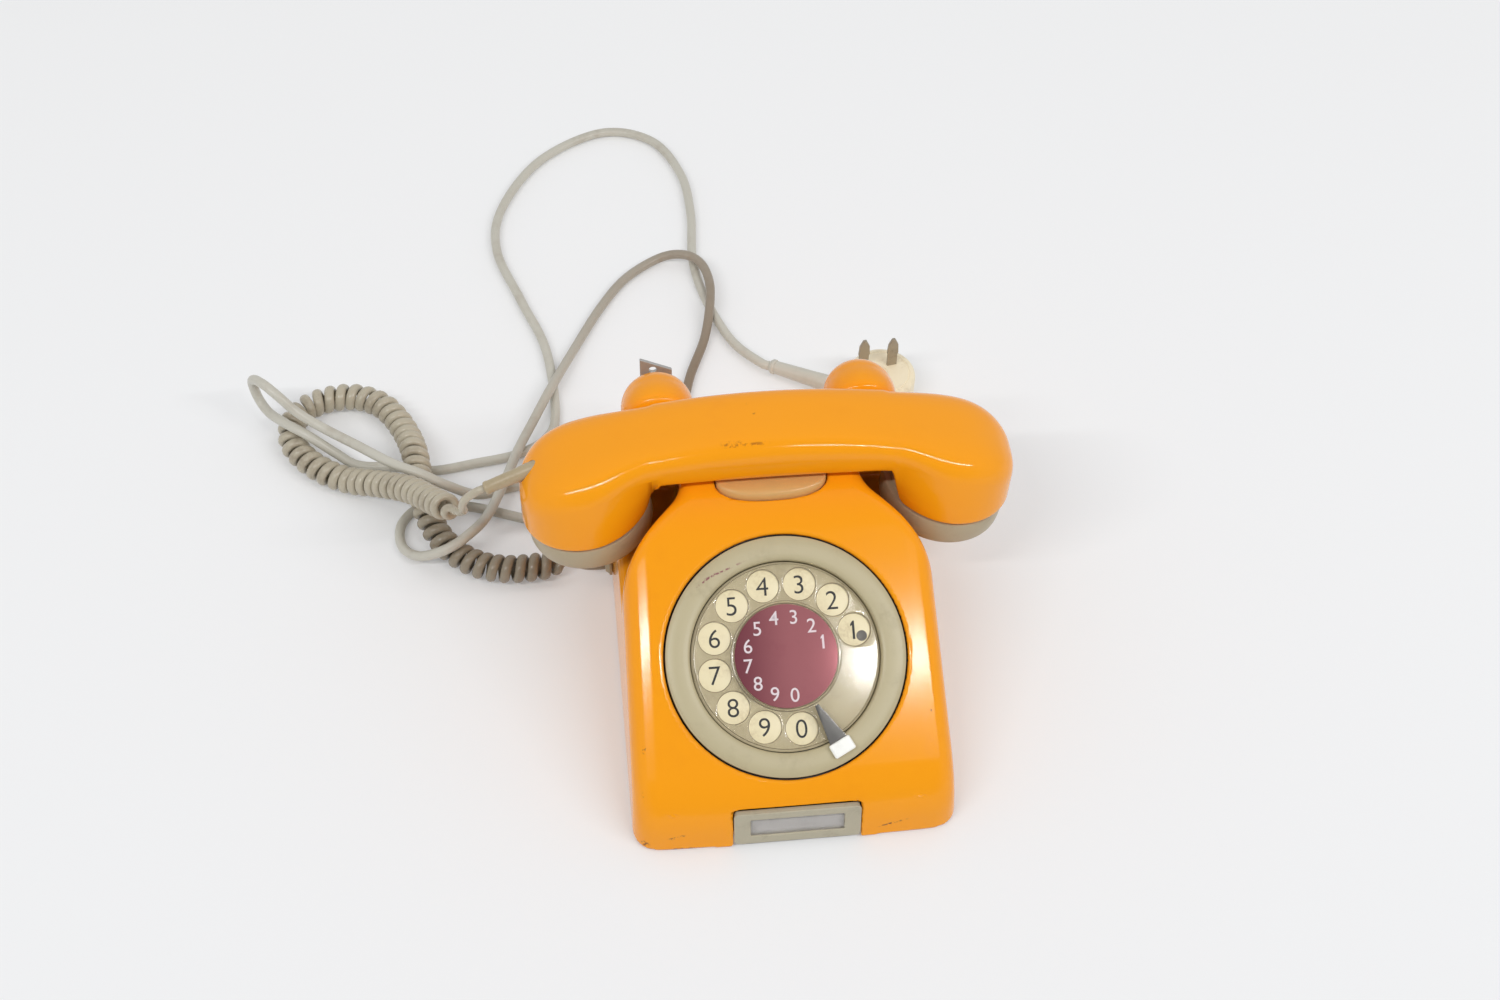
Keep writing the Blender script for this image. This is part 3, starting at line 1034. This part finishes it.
# Hook switch: an oval button of peach, half clear plastic in the neck, under the handset's grip. It
# stands on a plunger with a spring, and works a contact pair inside.
button_peach = clear_plastic("button_peach", (0.99, 0.60, 0.22), 0.20)
button_peach.node_tree.nodes["Principled BSDF"].inputs["Transmission Weight"].default_value = 0.35
button_half, button_top, button_foot, button_edge = (25.0, 10.5), 99.0, 91.0, 1.0
button_steps, button_power, button_proud = 96, 0.8, 0.7
button_points = []
for scale in (0.0, 0.3, 0.6, 0.8, 0.9, 0.95, 0.98, 1.0):
    inside = (1 - scale) * button_half[1]
    drop = button_edge - math.sqrt(max(0, button_edge**2 - max(0, button_edge - inside) ** 2))
    for k in range(button_steps):
        a = 2 * math.pi * k / button_steps
        c, s = math.cos(a), math.sin(a)
        u = scale * button_half[0] * math.copysign(abs(c) ** button_power, c)
        y = button_y + scale * button_half[1] * math.copysign(abs(s) ** button_power, s)
        slope_z = skirt_h + (y - skirt_lean) * math.tan(face_tilt) + button_proud / math.cos(face_tilt)
        z = float(soft_min(np.array(button_top), np.array(slope_z), 2.0))
        button_points.append((0.001 * u, 0.001 * (y - front_y), 0.001 * (z - drop)))
button_points += [(x, y, 0.001 * button_foot) for x, y, _ in button_points[-button_steps:]]
button_mesh = hoop_mesh("peach_button", button_points, button_steps, capped=[-1])
smoothed(button_mesh, 45)
cradle_button = new_piece("peach_button", button_mesh, button_peach)
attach(cradle_button, "button")
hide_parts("cradle_button")
nylon_grey = grimy("nylon_grey", (0.40, 0.38, 0.33), (0.25, 0.22, 0.18), 110.0, 0.4, 0.5)
repaint(nylon_grey, "hook_plunger")
repaint(plain_steel, "hook_bracket", "hook_spring")
repaint(bright_brass, "hook_contacts")


# Ringer and circuit: two brass gongs, two red wound coils and a clapper on a steel frame, and a brown
# board with its coil, capacitor and screw terminals. They are hidden and keep the solid model's shapes.
coil_red = grimy("coil_red", (0.26, 0.045, 0.025), (0.12, 0.02, 0.01), 200.0, 0.5, 0.4, bump=0.0001)
board_brown = grimy("board_brown", (0.26, 0.14, 0.055), (0.12, 0.06, 0.03), 80.0, 0.5, 0.45)
film_blue = grimy("film_blue", (0.10, 0.17, 0.30), (0.05, 0.08, 0.14), 90.0, 0.4, 0.35)
coil_tape = grimy("coil_tape", (0.30, 0.17, 0.06), (0.14, 0.08, 0.03), 130.0, 0.5, 0.5, bump=0.0001)
repaint(plain_steel, "ringer_frame", "gong_screws", "bell_clapper")
repaint(bright_brass, "gong_left", "gong_right", "terminal_screws")
repaint(coil_red, "ringer_coils")
repaint(board_brown, "circuit_board")
repaint(coil_tape, "induction_coil")
repaint(film_blue, "capacitor")
repaint(black_moulding, "terminal_block")


# Handset: an arched orange shell in one piece, glossy, with two round ends. The ends are bored for
# the capsules, and the left end takes the cord's sleeve.
handset_half, cup_r, cup_lean, seam_h = 112.9, 29.8, math.radians(8.5), 76.0
grip_y, grip_top, grip_t, grip_w, grip_half = 145.5, 125.5, 26.0, 40.0, 46.0
arch_end, arch_r, arch_reach, under_r = 85.0, 272.0, 113.2, 2200.0
crown_end, crown_y, crown_t, crown_wide, crown_reach = 84.0, 143.9, 13.0, 2.5, 113.1
flank, flank_shift = (52.0, 58.0), 2.0
grip_power, cup_power, grip_under = 3.2, 24.0, 0.5


def shell_section(x, sides):
    """One closed outline of the shell across its length, in millimetres back from the front edge."""
    ax = abs(x)
    arch = grip_top - ax * ax / (2 * arch_r)
    t = max(0, (ax - arch_end) / (arch_reach - arch_end))
    top = crown_end + (arch - crown_end) * max(0, 1 - t**3) ** (1 / 3)
    to_cup = float(ease((ax - flank[0] - math.copysign(flank_shift, x)) / (flank[1] - flank[0])))
    to_middle = float(ease((ax - grip_half) / (cup_x - grip_half)))
    under = grip_top - grip_t - ax * ax / (2 * under_r)
    foot = under + (seam_h + (cup_x - ax) * math.tan(cup_lean) - under) * to_cup
    above = min(crown_t, (top - foot) / 2)
    mid = top - above
    cup_half = cup_r * math.sqrt(max(0, 1 - ((ax - cup_x) / cup_r) ** 2))
    low_half = cup_half if ax > cup_x else (grip_w / 2 - grip_under) * (1 - to_cup) + cup_half * to_cup
    round_end = max(0, 1 - max(0, (ax - cup_x) / (crown_reach - cup_x)) ** 3) ** (1 / 3)
    high_half = round_end * (grip_w / 2 + crown_wide * to_middle)
    low = np.array([low_half, grip_y + (cup_y - grip_y) * to_middle])
    high = np.array([high_half, grip_y + (crown_y - grip_y) * to_middle])
    widest = high + (low - high) * to_middle / 2
    outline = []
    for k in range(sides):
        a = 2 * math.pi * (k + 0.5) / sides
        s, c = math.sin(a), math.cos(a)
        power = 2 / (grip_power + (cup_power - grip_power) * to_cup) if s < 0 else 2 / grip_power
        lift = abs(s) ** power
        half, middle = widest + ((low if s < 0 else high) - widest) * lift
        outline.append((x, middle + half * math.copysign(abs(c) ** power, c),
                        mid - (mid - foot) * lift if s < 0 else mid + above * lift))
    return outline


shell_stations, shell_sides = 240, 120
shell_points = []
for i in range(shell_stations + 1):
    station = handset_half * math.sin(math.pi * (i / shell_stations - 0.5))
    shell_points += [(0.001 * x, 0.001 * (y - front_y), 0.001 * z)
                     for x, y, z in shell_section(station, shell_sides)]
shell_mesh = hoop_mesh("orange_handset", shell_points, shell_sides, capped=(0, -1))


def bored(piece, cutters):
    """Cuts the cutters' shapes out of a piece for good, and removes them."""
    tool = new_piece("bore_tool", pooled("bore_tool", cutters))
    cut = piece.modifiers.new("bore", "BOOLEAN")
    cut.operation = "DIFFERENCE"
    cut.solver = "EXACT"
    cut.object = tool
    made = shown_mesh(piece)
    piece.modifiers.remove(cut)
    bpy.data.objects.remove(tool)
    material = piece.data.materials[0]
    piece.data = made
    made.materials.clear()
    made.materials.append(material)
    smoothed(made, 35)


handset_marks = [
    ((-0.0123, 0.0281, 0.1234), (1, 0.02, 0.02), 0.0130, 0.0012),
    ((-0.0180, 0.0290, 0.1232), (1, 0.0, 0.0), 0.0060, 0.0020),
    ((-0.0066, 0.0446, 0.1253), (1, 1, 0), 0.0012, 0.0010),
    ((-0.0091, 0.0505, 0.1250), (1, 1, 0), 0.0010, 0.0008),
    ((0.0720, 0.0620, 0.1120), (1, 0.3, 0), 0.0080, 0.0009)]
handset_orange = orange_plastic("handset_orange", handset_marks, (0.50, 0.17, 0.01))
handset_shell = new_piece("orange_handset", shell_mesh, handset_orange)
cup_place = {side: Matrix.Translation((0.001 * cup_x * side, 0.001 * (cup_y - front_y), 0.001 * seam_h))
             @ Matrix.Rotation(side * cup_lean, 4, "Y") for side in (-1, 1)}
bored(handset_shell, [
    *(lathe(f"cup_bore_{side}", [(0, -3), (26, -3), (26, 14), (0, 14)], 96, cup_place[side], None)
      for side in cup_place),
    lathe("sleeve_bore", [(0, 0), (3.7, 0), (3.7, 22), (0, 22)], 40,
          aimed(sleeve_start, sleeve_end), None)])
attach(handset_shell, "handset")
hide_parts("handset_shell")


# Handset caps: beige bowls that screw into the two ends, pierced by small holes: three rings of them
# over the mouth capsule, one ring with a hole in its middle over the ear capsule.
cap_beige = grimy("cap_beige", (0.43, 0.36, 0.235), (0.24, 0.18, 0.10), 60.0, 0.55, 0.36, bump=0.00003)
cap_profile = [
    (0, -15.5), (24.9, -15.5), (26.43, -15.2), (27.73, -14.33), (28.6, -13.03), (28.9, -11.5),
    (28.9, -1.6), (28.6, -1.1), (27.8, -0.8), (25.85, -0.8), (25.85, 5), (24, 5), (24, -11.5),
    (22, -11.5), (22, -13.5), (0, -13.5)]
drill_profile = [(0, -16.5), (1.1, -16.5), (1.1, -12.5), (0, -12.5)]
grille = {"mouth_cap": (-1, ((5, 6), (10, 12), (15, 18))), "ear_cap": (1, ((0, 1), (5, 6)))}
for cap_node, (side, hole_rings) in grille.items():
    cap = lathe(cap_node.replace("_cap", "_grille_cap"), cap_profile, 128, cup_place[side], cap_beige)
    drills = []
    for radius, count in hole_rings:
        one_drill = lathe("one_drill", drill_profile, 20, Matrix.Identity(4), None)
        drills.append(ring_of(
            "drill_ring", one_drill, cup_place[side], Count=count, Radius=0.001 * radius, First=0.0,
            Step=2 * math.pi / count, Material=cap_beige))
    bored(cap, drills)
    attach(cap, "handset")
    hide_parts(cap_node)
repaint(plain_steel, "transmitter", "receiver")
